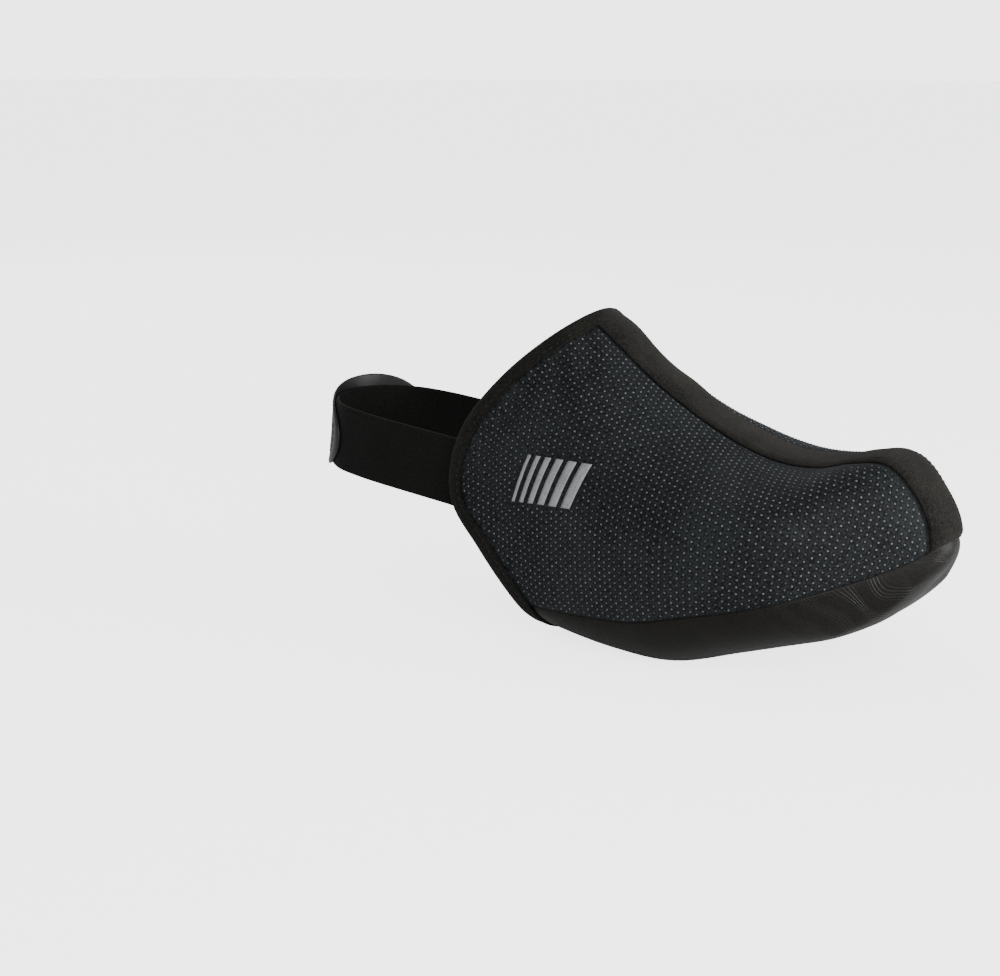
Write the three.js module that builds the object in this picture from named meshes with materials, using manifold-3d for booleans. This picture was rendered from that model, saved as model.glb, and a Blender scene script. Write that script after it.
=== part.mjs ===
// Cycling toe cover for the right foot: a cloth hood over the toes and the instep, held by an elastic strap
// round the heel. Millimetres. X runs from the heel to the toe, Y to the inner side of the foot, Z up.
import * as THREE from 'three';
import { mergeVertices } from 'three/addons/utils/BufferGeometryUtils.js';
import Module from 'manifold-3d';

const wasm = await Module();
wasm.setup();

// The last that the cover is cut for, outside the cloth
const lastLength = 285;
const ballWidth = 113;
const instepHeight = 130;
const toeSpring = 30;
const toeCapLength = 50;

// Cloth, sole and trims
const upperWall = 2.5;
const soleWall = 3;
const seamGap = 0.3;
const stripWidth = 24.5;
const stripThickness = 0.8;
const stripDrift = 4.5;
const bindingWidth = 6;
const bindingThickness = 0.9;

// The opening under the ball that leaves the cleat free
const cleatLength = 56;
const cleatWidth = 44;
const cleatCorner = 12;
const cleatBack = 158;

// The elastic strap and the patch sewn on it behind the heel
const heelRadius = 33;
const strapWidth = 28;
const strapThickness = 1.8;
const strapHeelHeight = 69;
const strapCoverHeight = 61;
const strapTuck = 14;
const strapEase = 0.7;
const strapLean = 0.09;
const patchLength = 75;
const patchHeight = 42;
const patchThickness = 1.2;
const patchTilt = 0.04;

// Fineness of the facets, and the distance under which points are one
const ringSides = 44;
const bodyRings = 18;
const capRings = 11;
const lineSteps = 24;
const cornerSteps = 6;
const loopSteps = 200;
const strapSteps = 56;
const patchSteps = 36;
const oneDistance = 1e-4;

// Sections of the last seen from above: at is a share of the length, the others of the ball width
const plan = [
  { at: 0.263, middle: -0.018, lateral: 0.341, medial: 0.341 },
  { at: 0.316, middle: -0.018, lateral: 0.358, medial: 0.358 },
  { at: 0.404, middle: -0.018, lateral: 0.389, medial: 0.389 },
  { at: 0.491, middle: -0.018, lateral: 0.427, medial: 0.427 },
  { at: 0.579, middle: -0.013, lateral: 0.467, medial: 0.467 },
  { at: 0.667, middle: -0.009, lateral: 0.500, medial: 0.500 },
  { at: 0.754, middle: 0.004, lateral: 0.500, medial: 0.509 },
  { at: 0.825, middle: 0.019, lateral: 0.460, medial: 0.478 },
  { at: 0.877, middle: 0.028, lateral: 0.400, medial: 0.429 },
  { at: 0.930, middle: 0.036, lateral: 0.330, medial: 0.361 },
  { at: 1.000, middle: 0.044, lateral: 0.252, medial: 0.270 },
];

// The same sections seen from the side. crest and waist are shares of the instep height, keel of the toe
// spring. top and base say how square a section is above and below its waist: 2 is an ellipse.
const profile = [
  { at: 0.263, crest: 1.277, waist: 0.281, keel: 0.500, top: 1.90, base: 3.40 },
  { at: 0.316, crest: 1.203, waist: 0.272, keel: 0.347, top: 1.90, base: 3.40 },
  { at: 0.404, crest: 1.096, waist: 0.262, keel: 0.190, top: 1.90, base: 3.40 },
  { at: 0.491, crest: 0.963, waist: 0.265, keel: 0.020, top: 1.90, base: 3.40 },
  { at: 0.579, crest: 0.808, waist: 0.298, keel: -0.087, top: 1.95, base: 3.40 },
  { at: 0.667, crest: 0.688, waist: 0.356, keel: -0.087, top: 2.00, base: 3.40 },
  { at: 0.754, crest: 0.611, waist: 0.412, keel: 0.145, top: 2.10, base: 3.20 },
  { at: 0.825, crest: 0.601, waist: 0.419, keel: 0.337, top: 2.30, base: 2.90 },
  { at: 0.877, crest: 0.635, waist: 0.408, keel: 0.483, top: 2.40, base: 2.70 },
  { at: 0.930, crest: 0.665, waist: 0.392, keel: 0.680, top: 2.50, base: 2.60 },
  { at: 1.000, crest: 0.598, waist: 0.404, keel: 1.100, top: 2.50, base: 2.50 },
];

// How the sections close in over the toe cap: 2 is an ellipse, more is blunter
const capShape = { width: 2, height: 2.9 };

// Seen from the side, the edge of the collar: at is a share of the instep height, back of the length
const collarRows = [
  { at: -0.154, back: 0.477 },
  { at: 0.000, back: 0.453 },
  { at: 0.115, back: 0.426 },
  { at: 0.262, back: 0.363 },
  { at: 0.369, back: 0.316 },
  { at: 0.477, back: 0.304 },
  { at: 0.631, back: 0.323 },
  { at: 0.792, back: 0.379 },
  { at: 1.000, back: 0.479 },
  { at: 1.346, back: 0.642 },
];

// The seam between upper and sole, seen from the side. rise is a share of the instep height.
const seamRows = [
  { at: 0.210, rise: 0.112 },
  { at: 0.421, rise: 0.106 },
  { at: 0.526, rise: 0.118 },
  { at: 0.632, rise: 0.143 },
  { at: 0.719, rise: 0.192 },
  { at: 0.807, rise: 0.238 },
  { at: 0.895, rise: 0.304 },
  { at: 0.965, rise: 0.365 },
  { at: 1.000, rise: 0.404 },
  { at: 1.060, rise: 0.470 },
];

// The value of one column between the rows of a table, on a smooth curve through them
function along(rows, column, place) {
  const last = rows.length - 1;
  const inside = THREE.MathUtils.clamp(place, rows[0].at, rows[last].at);
  let row = 0;
  while (row < last - 1 && rows[row + 1].at < inside) row += 1;
  const slope = (k) => {
    const before = rows[Math.max(k - 1, 0)];
    const after = rows[Math.min(k + 1, last)];
    return (after[column] - before[column]) / (after.at - before.at);
  };
  const span = rows[row + 1].at - rows[row].at;
  const t = (inside - rows[row].at) / span;
  const start = rows[row][column] * (1 + 2 * t) * (1 - t) ** 2;
  const end = rows[row + 1][column] * t * t * (3 - 2 * t);
  const leave = slope(row) * span * t * (1 - t) ** 2;
  const arrive = slope(row + 1) * span * t * t * (1 - t);
  return start + end + leave - arrive;
}

// The section of the last at x: its middle line, half widths and heights, closed in towards the toe tip
function sectionAt(x) {
  const place = x / lastLength;
  const cap = THREE.MathUtils.clamp(1 - (lastLength - x) / toeCapLength, 0, 1);
  const narrowing = Math.sqrt(1 - cap ** capShape.width);
  const closing = Math.sqrt(1 - cap ** capShape.height);
  const waist = along(profile, 'waist', place) * instepHeight;
  const crest = along(profile, 'crest', place) * instepHeight;
  const keel = along(profile, 'keel', place) * toeSpring;
  return {
    middle: along(plan, 'middle', place) * ballWidth,
    lateral: along(plan, 'lateral', place) * ballWidth * narrowing,
    medial: along(plan, 'medial', place) * ballWidth * narrowing,
    waist,
    above: (crest - waist) * closing,
    below: (waist - keel) * closing,
    top: along(profile, 'top', place),
    base: along(profile, 'base', place),
  };
}

// A place along the last, 0 at its open back and 1 at the toe tip, as an x. The steps close up at the tip.
const formBack = plan[0].at * lastLength;
const capStart = lastLength - toeCapLength;
const capShare = capRings / (bodyRings + capRings);
function xAt(station) {
  const fromCap = (station - (1 - capShare)) / capShare;
  if (fromCap < 0) return THREE.MathUtils.lerp(formBack, capStart, station / (1 - capShare));
  return capStart + toeCapLength * Math.sin(fromCap * Math.PI / 2);
}

// A point on the last. The angle runs round the section: 0 lateral, a quarter turn on the crest.
function lastPoint(station, angle) {
  const x = xAt(station);
  const s = sectionAt(x);
  const across = Math.cos(angle);
  const up = Math.sin(angle);
  const power = up >= 0 ? s.top : s.base;
  const reach = (Math.abs(across) ** power + Math.abs(up) ** power) ** (-1 / power);
  const side = across > 0 ? s.lateral : s.medial;
  const height = up >= 0 ? s.above : s.below;
  return new THREE.Vector3(x, s.middle - side * reach * across, s.waist + height * reach * up);
}

// The same point moved out by a distance, square to the surface, and kept flat where the cover stands
function offsetPoint(station, angle, distance) {
  const step = 1e-4;
  const ahead = lastPoint(Math.min(station + step, 1), angle);
  const alongLast = ahead.sub(lastPoint(station - step, angle));
  const roundLast = lastPoint(station, angle + step).sub(lastPoint(station, angle - step));
  const normal = alongLast.cross(roundLast).normalize();
  const point = lastPoint(station, angle).addScaledVector(normal, distance);
  point.z = Math.max(point.z, -distance);
  return point;
}

// A closed solid of the whole last, moved out by a distance
function lastSolid(distance) {
  const rings = bodyRings + capRings;
  const positions = [];
  for (let ring = 0; ring < rings; ring += 1) {
    for (let side = 0; side < ringSides; side += 1) {
      const point = offsetPoint(ring / rings, (side / ringSides) * 2 * Math.PI, distance);
      positions.push(point.x, point.y, point.z);
    }
  }
  const tip = lastPoint(1, 0);
  positions.push(tip.x + distance, tip.y, tip.z);
  const back = lastPoint(0, 0);
  positions.push(back.x, 0, back.z);
  const tipIndex = rings * ringSides;
  const triangles = [];
  for (let ring = 0; ring < rings; ring += 1) {
    for (let side = 0; side < ringSides; side += 1) {
      const here = ring * ringSides + side;
      const next = ring * ringSides + (side + 1) % ringSides;
      if (ring === 0) triangles.push(here, next, tipIndex + 1);
      if (ring === rings - 1) triangles.push(here, tipIndex, next);
      else triangles.push(here, here + ringSides, next + ringSides, here, next + ringSides, next);
    }
  }
  const geometry = new THREE.BufferGeometry();
  geometry.setAttribute('position', new THREE.Float32BufferAttribute(positions, 3));
  geometry.setIndex(triangles);
  return toSolid(geometry);
}

function toSolid(geometry) {
  geometry.deleteAttribute('normal');
  geometry.deleteAttribute('uv');
  const merged = mergeVertices(geometry, oneDistance);
  return new wasm.Manifold(new wasm.Mesh({
    numProp: 3,
    vertProperties: new Float32Array(merged.attributes.position.array),
    triVerts: new Uint32Array(merged.index.array),
  }));
}

function toMesh(solid, name, material) {
  const { vertProperties, triVerts } = solid.getMesh();
  const geometry = new THREE.BufferGeometry();
  geometry.setAttribute('position', new THREE.BufferAttribute(vertProperties, 3));
  geometry.setIndex(new THREE.BufferAttribute(triVerts, 1));
  geometry.computeVertexNormals();
  const mesh = new THREE.Mesh(geometry, material);
  mesh.name = name;
  return mesh;
}

// Prisms that cut the last: an outline seen from the side, or one seen from above
const prismReach = 2 * ballWidth;
function sidePrism(outline) {
  const shape = new THREE.Shape(outline);
  const geometry = new THREE.ExtrudeGeometry(shape, { depth: prismReach, bevelEnabled: false });
  geometry.rotateX(Math.PI / 2);
  geometry.translate(0, prismReach / 2, 0);
  return toSolid(geometry);
}
function topPrism(shape, from, to) {
  const options = { depth: to - from, bevelEnabled: false, curveSegments: cornerSteps };
  const geometry = new THREE.ExtrudeGeometry(shape, options);
  geometry.translate(0, 0, from);
  return toSolid(geometry);
}

// A line moved square to itself, to its left as it runs
function movedLine(points, distance) {
  return points.map((point, k) => {
    const before = points[Math.max(k - 1, 0)];
    const after = points[Math.min(k + 1, points.length - 1)];
    const run = after.clone().sub(before).normalize();
    return new THREE.Vector2(point.x - run.y * distance, point.y + run.x * distance);
  });
}

function tableLine(rows, steps, toPoint) {
  const first = rows[0].at;
  const last = rows[rows.length - 1].at;
  return Array.from({ length: steps + 1 }, (_, k) => toPoint(THREE.MathUtils.lerp(first, last, k / steps)));
}

// Everything ahead of the collar's edge, moved towards the toe by a distance
function aheadOfCollar(distance) {
  const edge = tableLine(collarRows, lineSteps, (at) => (
    new THREE.Vector2(along(collarRows, 'back', at) * lastLength, at * instepHeight)));
  const moved = movedLine(edge, -distance);
  const far = 2 * lastLength;
  const top = moved[moved.length - 1].y;
  return sidePrism([new THREE.Vector2(far, moved[0].y), new THREE.Vector2(far, top), ...moved.reverse()]);
}

// Everything above the sole seam, moved up by a distance, or down where it is negative
function aboveSeam(distance) {
  const seam = tableLine(seamRows, lineSteps, (at) => (
    new THREE.Vector2(at * lastLength, along(seamRows, 'rise', at) * instepHeight)));
  const moved = movedLine(seam, distance);
  const high = 2 * instepHeight;
  const right = moved[moved.length - 1].x;
  return sidePrism([...moved, new THREE.Vector2(right, high), new THREE.Vector2(moved[0].x, high)]);
}

// The lane of the centre strip seen from above, which drifts to the inner side towards the toe
const stripBack = 0.4 * lastLength;
function stripLane(halfWidth) {
  const reach = 1.1 * lastLength;
  const toeMiddle = stripDrift * (reach - stripBack) / (lastLength - stripBack);
  const lane = new THREE.Shape([
    new THREE.Vector2(stripBack, -halfWidth),
    new THREE.Vector2(reach, toeMiddle - halfWidth),
    new THREE.Vector2(reach, toeMiddle + halfWidth),
    new THREE.Vector2(stripBack, halfWidth),
  ]);
  return topPrism(lane, 0, 2 * instepHeight);
}

// The cloth ends inside the fold of the binding
const clothBack = bindingThickness + seamGap;
const outside = lastSolid(0);
const cloth = aheadOfCollar(clothBack);
const coverInside = Math.max(upperWall, soleWall);

function upperSolid() {
  const recess = lastSolid(stripThickness).subtract(lastSolid(-(stripThickness + seamGap)));
  return outside.subtract(lastSolid(-upperWall))
    .intersect(cloth)
    .intersect(aboveSeam(seamGap / 2))
    .subtract(recess.intersect(stripLane(stripWidth / 2 + seamGap)));
}

function centerStripSolid() {
  return outside.subtract(lastSolid(-stripThickness))
    .intersect(cloth)
    .intersect(aboveSeam(seamGap / 2))
    .intersect(stripLane(stripWidth / 2));
}

// The opening for the cleat: a rounded rectangle, seen from above
function cleatOpening() {
  const middle = cleatBack + cleatLength / 2;
  const lengthways = cleatLength / 2 - cleatCorner;
  const across = cleatWidth / 2 - cleatCorner;
  const shape = new THREE.Shape();
  [[1, -1], [1, 1], [-1, 1], [-1, -1]].forEach(([front, inner], corner) => {
    const turn = (corner - 1) * Math.PI / 2;
    shape.absarc(middle + front * lengthways, inner * across, cleatCorner, turn, turn + Math.PI / 2);
  });
  return topPrism(shape, -toeSpring, toeSpring);
}

function soleSolid() {
  return outside.subtract(lastSolid(-soleWall))
    .intersect(cloth)
    .subtract(aboveSeam(-seamGap / 2))
    .subtract(cleatOpening());
}

// A tape folded over the edge of the cloth, all round the opening
function collarBindingSolid() {
  const wrapped = lastSolid(seamGap).subtract(lastSolid(-coverInside - seamGap))
    .intersect(aheadOfCollar(bindingThickness));
  const fold = bindingThickness + seamGap;
  return lastSolid(fold).subtract(lastSolid(-coverInside - fold))
    .intersect(aheadOfCollar(0))
    .subtract(aheadOfCollar(bindingWidth))
    .subtract(wrapped);
}

// The side of the last at a place and height, as a y. The side is -1 lateral, 1 medial.
function sideOfLast(x, z, side) {
  const s = sectionAt(x);
  const high = (z - s.waist) / s.above;
  const half = side < 0 ? s.lateral : s.medial;
  return s.middle + side * half * (1 - high ** s.top) ** (1 / s.top);
}

// The outer face of the strap seen from above: from one edge of the cover, round the heel, to the other
const strapInset = coverInside + bindingThickness + seamGap + strapEase;
const collarBack = along(collarRows, 'back', strapCoverHeight / instepHeight) * lastLength;
const strapEnd = collarBack + strapTuck;
function heelLoop() {
  const insideCover = (x, side) => (
    new THREE.Vector3(x, sideOfLast(x, strapCoverHeight, side) - side * strapInset, 0));
  const onHeel = (degrees) => {
    const angle = THREE.MathUtils.degToRad(degrees);
    return new THREE.Vector3(heelRadius * (1 - Math.cos(angle)), heelRadius * Math.sin(angle), 0);
  };
  return new THREE.CatmullRomCurve3([
    insideCover(strapEnd, -1),
    insideCover(collarBack, -1),
    ...[-90, -60, -30, 0, 30, 60, 90].map(onHeel),
    insideCover(collarBack, 1),
    insideCover(strapEnd, 1),
  ]);
}

// A band that follows the heel loop. Its half height is a function of the way round from the heel.
const loop = heelLoop();
const loopLengths = loop.getLengths(loopSteps);
const loopMiddle = loopLengths[loopSteps / 2];
const loopLength = loopLengths[loopSteps];
function bandSolid(from, to, steps, inner, outer, halfHeight, tilt) {
  const positions = [];
  for (let k = 0; k <= steps; k += 1) {
    const way = THREE.MathUtils.lerp(from, to, k / steps);
    const share = THREE.MathUtils.clamp((loopMiddle + way) / loopLength, 0, 1);
    const point = loop.getPointAt(share);
    const run = loop.getTangentAt(share);
    const out = new THREE.Vector3(-run.y, run.x, 0);
    const forward = THREE.MathUtils.clamp(point.x / collarBack, 0, 1);
    const middle = THREE.MathUtils.lerp(strapHeelHeight, strapCoverHeight, forward) + tilt * way;
    for (const [depth, level] of [[inner, -1], [outer, -1], [outer, 1], [inner, 1]]) {
      const up = level * halfHeight(way);
      const corner = point.clone().addScaledVector(out, depth - strapLean * up);
      positions.push(corner.x, corner.y, middle + up);
    }
  }
  const triangles = [];
  for (let k = 0; k < steps; k += 1) {
    for (let corner = 0; corner < 4; corner += 1) {
      const a = k * 4 + corner;
      const b = k * 4 + (corner + 1) % 4;
      triangles.push(a, b, b + 4, a, b + 4, a + 4);
    }
  }
  const end = steps * 4;
  triangles.push(0, 2, 1, 0, 3, 2, end, end + 1, end + 2, end, end + 2, end + 3);
  const geometry = new THREE.BufferGeometry();
  geometry.setAttribute('position', new THREE.Float32BufferAttribute(positions, 3));
  geometry.setIndex(triangles);
  return toSolid(geometry);
}

function heelStrapSolid() {
  const halfHeight = () => strapWidth / 2;
  return bandSolid(-loopMiddle, loopLength - loopMiddle, strapSteps, -strapThickness, 0, halfHeight, 0);
}

// The patch is a rounded oval, squarer than an ellipse, with its two ends cut off just short of a point
const patchRoundness = 2.6;
const patchEndCut = 0.995;
function heelPatchSolid() {
  const reach = patchLength / 2;
  const halfHeight = (way) => {
    const share = Math.min(Math.abs(way) / reach, patchEndCut);
    return (patchHeight / 2) * (1 - share ** patchRoundness) ** (1 / patchRoundness);
  };
  return bandSolid(-reach, reach, patchSteps, seamGap, seamGap + patchThickness, halfHeight, patchTilt);
}

const cloths = {
  laminate: new THREE.MeshStandardMaterial({ color: 0x191c1e, roughness: 0.75, metalness: 0 }),
  knit: new THREE.MeshStandardMaterial({ color: 0x24221f, roughness: 0.9, metalness: 0 }),
  rubberised: new THREE.MeshStandardMaterial({ color: 0x221f1d, roughness: 0.7, metalness: 0 }),
  elastic: new THREE.MeshStandardMaterial({ color: 0x1a1a1b, roughness: 0.85, metalness: 0 }),
  leatherette: new THREE.MeshStandardMaterial({ color: 0x1d1d1f, roughness: 0.5, metalness: 0 }),
};

const toeCover = new THREE.Group();
toeCover.add(
  toMesh(upperSolid(), 'upper', cloths.laminate),
  toMesh(soleSolid(), 'sole', cloths.rubberised),
  toMesh(centerStripSolid(), 'center_strip', cloths.knit),
  toMesh(collarBindingSolid(), 'collar_binding', cloths.knit),
  toMesh(heelStrapSolid(), 'heel_strap', cloths.elastic),
  toMesh(heelPatchSolid(), 'heel_patch', cloths.leatherette),
);

// The origin is on the floor, under the middle of the whole cover
const extent = new THREE.Box3().setFromObject(toeCover);
const centre = extent.getCenter(new THREE.Vector3());
toeCover.position.set(-centre.x, -centre.y, -extent.min.z);

export default toeCover;
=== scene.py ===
# Cycling toe cover for the right foot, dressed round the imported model. Points on the last are in millimetres,
# with X from the back of the heel to the toe, Y to the inner side of the foot and Z up from the floor.
import math

import bmesh
import bpy
import numpy as np
from mathutils import Matrix, Vector
from mathutils.bvhtree import BVHTree
from mathutils.geometry import barycentric_transform


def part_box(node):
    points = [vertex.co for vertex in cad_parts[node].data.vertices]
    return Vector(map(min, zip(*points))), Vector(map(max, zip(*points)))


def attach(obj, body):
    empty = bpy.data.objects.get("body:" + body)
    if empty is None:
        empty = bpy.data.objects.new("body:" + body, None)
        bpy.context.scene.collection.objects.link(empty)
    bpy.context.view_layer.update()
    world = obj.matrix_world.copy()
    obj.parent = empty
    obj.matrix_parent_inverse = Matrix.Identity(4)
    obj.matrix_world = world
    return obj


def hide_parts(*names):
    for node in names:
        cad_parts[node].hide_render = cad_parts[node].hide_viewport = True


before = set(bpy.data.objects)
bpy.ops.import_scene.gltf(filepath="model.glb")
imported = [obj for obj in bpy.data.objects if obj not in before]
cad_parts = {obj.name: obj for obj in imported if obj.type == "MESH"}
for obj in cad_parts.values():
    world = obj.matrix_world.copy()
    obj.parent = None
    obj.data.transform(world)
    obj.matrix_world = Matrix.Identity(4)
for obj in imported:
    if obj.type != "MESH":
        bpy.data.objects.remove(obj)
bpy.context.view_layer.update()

# Side panels: windproof laminate, cut as an outer and an inner piece that meet the knit strip over the foot.
# They are drawn over the last, so their surface is worked out from its sections. The cloth rolls in to the
# seam beside the strip, and a few soft folds lead away from the collar.
last_length = 285.0
ball_width = 113.0
instep_height = 130.0
toe_spring = 30.0
toe_cap_length = 50.0
toe_cap_bluntness = 2.9
strip_width = 24.5
strip_drift = 4.5
strip_start = 0.4 * last_length
fold_allowance = 1.2
seam_half_gap = 0.15
panel_wall = 1.5

# Shares of the last's own sizes: at of its length, the widths of the ball, the heights of the instep, the
# keel of the toe spring. top and base say how square a section is, where 2 is an ellipse.
last = dict(zip(
    ("at", "middle", "lateral", "medial", "crest", "waist", "keel", "top", "base"),
    np.array((
        (0.263, -0.018, 0.341, 0.341, 1.277, 0.281, 0.500, 1.90, 3.40),
        (0.316, -0.018, 0.358, 0.358, 1.203, 0.272, 0.347, 1.90, 3.40),
        (0.404, -0.018, 0.389, 0.389, 1.096, 0.262, 0.190, 1.90, 3.40),
        (0.491, -0.018, 0.427, 0.427, 0.963, 0.265, 0.020, 1.90, 3.40),
        (0.579, -0.013, 0.467, 0.467, 0.808, 0.298, -0.087, 1.95, 3.40),
        (0.667, -0.009, 0.500, 0.500, 0.688, 0.356, -0.087, 2.00, 3.40),
        (0.754, 0.004, 0.500, 0.509, 0.611, 0.412, 0.145, 2.10, 3.20),
        (0.825, 0.019, 0.460, 0.478, 0.601, 0.419, 0.337, 2.30, 2.90),
        (0.877, 0.028, 0.400, 0.429, 0.635, 0.408, 0.483, 2.40, 2.70),
        (0.930, 0.036, 0.330, 0.361, 0.665, 0.392, 0.680, 2.50, 2.60),
        (1.000, 0.044, 0.252, 0.270, 0.598, 0.404, 1.100, 2.50, 2.50),
    )).T))

# The collar's edge seen from the side: at is a share of the instep height, back of the length
collar = dict(zip(("at", "back"), np.array((
    (-0.154, 0.477), (0.000, 0.453), (0.115, 0.426), (0.262, 0.363), (0.369, 0.316),
    (0.477, 0.304), (0.631, 0.323), (0.792, 0.379), (1.000, 0.479), (1.346, 0.642),
)).T))

# The sole seam seen from the side: at is a share of the length, rise of the instep height
seam = dict(zip(("at", "rise"), np.array((
    (0.210, 0.112), (0.421, 0.106), (0.526, 0.118), (0.632, 0.143), (0.719, 0.192),
    (0.807, 0.238), (0.895, 0.304), (0.965, 0.368), (1.000, 0.422), (1.060, 0.500),
)).T))


def along(table, column, place):
    """A column of a table at places along it, on a smooth curve through its rows."""
    at, value = table["at"], table[column]
    ends = np.arange(len(at))
    before, after = np.maximum(ends - 1, 0), np.minimum(ends + 1, len(at) - 1)
    slope = (value[after] - value[before]) / (at[after] - at[before])
    place = np.clip(place, at[0], at[-1])
    row = np.clip(np.searchsorted(at, place) - 1, 0, len(at) - 2)
    span = at[row + 1] - at[row]
    t = (place - at[row]) / span
    held = value[row] * (1 + 2 * t) * (1 - t) ** 2 + value[row + 1] * t * t * (3 - 2 * t)
    return held + span * t * (1 - t) * (slope[row] * (1 - t) - slope[row + 1] * t)


last_back = last["at"][0] * last_length
cap_start = last_length - toe_cap_length
body_share = 0.62
station_tip = 0.9999


def x_at(station):
    """A place along the last, 0 at its open back and 1 at the toe tip. Steps close up at the tip."""
    body = last_back + (cap_start - last_back) * station / body_share
    turn = np.maximum(station - body_share, 0) / (1 - body_share) * math.pi / 2
    return np.where(station < body_share, body, cap_start + toe_cap_length * np.sin(turn))


def section(station):
    """The last's section at a station: its middle, its half sizes and how square it is."""
    x = x_at(station)
    place = x / last_length
    cap = np.clip(1 - (last_length - x) / toe_cap_length, 0, 1)
    narrowing = np.sqrt(1 - cap ** 2)
    closing = np.sqrt(1 - cap ** toe_cap_bluntness)
    waist = along(last, "waist", place) * instep_height
    return {
        "x": x,
        "middle": along(last, "middle", place) * ball_width,
        "lateral": along(last, "lateral", place) * ball_width * narrowing,
        "medial": along(last, "medial", place) * ball_width * narrowing,
        "waist": waist,
        "above": (along(last, "crest", place) * instep_height - waist) * closing,
        "below": (waist - along(last, "keel", place) * toe_spring) * closing,
        "top": along(last, "top", place),
        "base": along(last, "base", place),
    }


def on_last(station, angle):
    """Points on the last. The angle is 0 on the outer side, a quarter turn on the crest."""
    s = section(station)
    across, up = np.cos(angle), np.sin(angle)
    power = np.where(up >= 0, s["top"], s["base"])
    reach = (np.abs(across) ** power + np.abs(up) ** power) ** (-1 / power)
    width = np.where(across > 0, s["lateral"], s["medial"])
    height = np.where(up >= 0, s["above"], s["below"])
    y = s["middle"] - width * reach * across
    return np.stack(np.broadcast_arrays(s["x"], y, s["waist"] + height * reach * up), -1)


def outward(station, angle):
    """The direction square to the last, away from it."""
    step = 1e-4
    lengthways = on_last(np.minimum(station + step, 1), angle) - on_last(station - step, angle)
    round_last = on_last(station, angle + step) - on_last(station, angle - step)
    normal = np.cross(lengthways, round_last)
    return normal / np.linalg.norm(normal, axis=-1, keepdims=True)


def off_last(station, angle, distance):
    """The same points moved out square to the last, and kept flat where the cover stands."""
    points = on_last(station, angle) + outward(station, angle) * np.asarray(distance)[..., None]
    points[..., 2] = np.maximum(points[..., 2], -np.asarray(distance))
    return points


def root(value, low, high):
    """Where a rising function turns positive, by halving."""
    for _ in range(40):
        middle = (low + high) / 2
        positive = value(middle) > 0
        low, high = np.where(positive, low, middle), np.where(positive, middle, high)
    return (low + high) / 2


def ahead_of_collar(points):
    """How far points lie ahead of the collar's edge, seen from the side."""
    at = points[..., 2] / instep_height
    step = 1e-3
    slant = (along(collar, "back", at + step) - along(collar, "back", at - step)) / (2 * step)
    run = np.hypot(1, slant * last_length / instep_height)
    return (points[..., 0] - along(collar, "back", at) * last_length) / run


def lane_of(x):
    """The middle of the knit strip, seen from above."""
    return strip_drift * (x - strip_start) / (last_length - strip_start)


def seam_height(x):
    return along(seam, "rise", x / last_length) * instep_height


def seam_angle(station, side, lift):
    """Where the sole seam, moved up by a lift, crosses a section. The side is -1 outer, 1 inner."""
    s = section(station)
    height = seam_height(s["x"]) + lift - s["waist"]
    level = np.clip(height / np.maximum(np.where(height > 0, s["above"], s["below"]), 1e-6), -1, 1)
    power = np.where(height > 0, s["top"], s["base"])
    angle = np.arctan2(level, (1 - np.abs(level) ** power) ** (1 / power))
    return angle if side < 0 else math.pi - angle


def lane_angle(station, offset):
    """Where a line of the strip, beside its middle by an offset, crosses a section."""
    s = section(station)
    from_middle = lane_of(s["x"]) + offset - s["middle"]
    width = np.where(from_middle < 0, s["lateral"], s["medial"])
    beside = np.clip(np.abs(from_middle) / width, 0, 1)
    angle = np.arctan2((1 - beside ** s["top"]) ** (1 / s["top"]), beside)
    return np.where(from_middle < 0, angle, math.pi - angle)


def collar_station(angle_at, ahead, shape):
    """The stations at which lines round the last lie ahead of the collar's edge by a distance."""
    return root(lambda station: ahead_of_collar(on_last(station, angle_at(station))) - ahead,
                np.zeros(shape), np.full(shape, 0.6))


def eased(count, ease):
    """Shares from 0 to 1 that crowd towards both ends."""
    t = np.linspace(0, 1, count + 1)
    return t - ease * np.sin(2 * math.pi * t) / (2 * math.pi)


toe_crowding = 1.35


def closing_up(count):
    """Shares from 0 to 1 that crowd towards the end, where a seam turns round the toe."""
    return 1 - np.linspace(1, 0, count + 1) ** toe_crowding


# Soft folds in the cloth. A fold runs between two places seen from the side, which are shares of the
# length and of the instep height. rise is its height, or its depth where negative, and reach its half width.
fold_columns = ("side", "x_from", "z_from", "x_to", "z_to", "rise", "reach")
folds = [dict(zip(fold_columns, row)) for row in (
    (-1, 0.480, 0.945, 0.505, 0.830, -1.9, 3.6),
    (-1, 0.474, 0.880, 0.496, 0.740, 0.9, 4.5),
    (-1, 0.462, 0.870, 0.484, 0.740, -2.2, 3.8),
    (-1, 0.446, 0.820, 0.440, 0.700, 0.8, 5.0),
    (-1, 0.424, 0.765, 0.372, 0.620, -2.3, 4.2),
    (-1, 0.353, 0.600, 0.372, 0.500, -1.5, 4.5),
    (-1, 0.372, 0.500, 0.400, 0.350, -0.9, 5.0),
    (-1, 0.400, 0.340, 0.470, 0.260, -0.6, 8.0),
    (-1, 0.560, 0.740, 0.640, 0.620, -0.5, 9.0),
    (-1, 0.600, 0.330, 0.720, 0.300, 0.5, 11.0),
    (1, 0.490, 0.930, 0.510, 0.800, -1.2, 4.5),
    (1, 0.430, 0.790, 0.390, 0.620, -1.3, 5.0),
    (1, 0.365, 0.560, 0.400, 0.360, -1.0, 5.0),
    (1, 0.700, 0.690, 0.830, 0.610, 1.3, 15.0),
)]
fold_fade = 7.0


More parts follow.
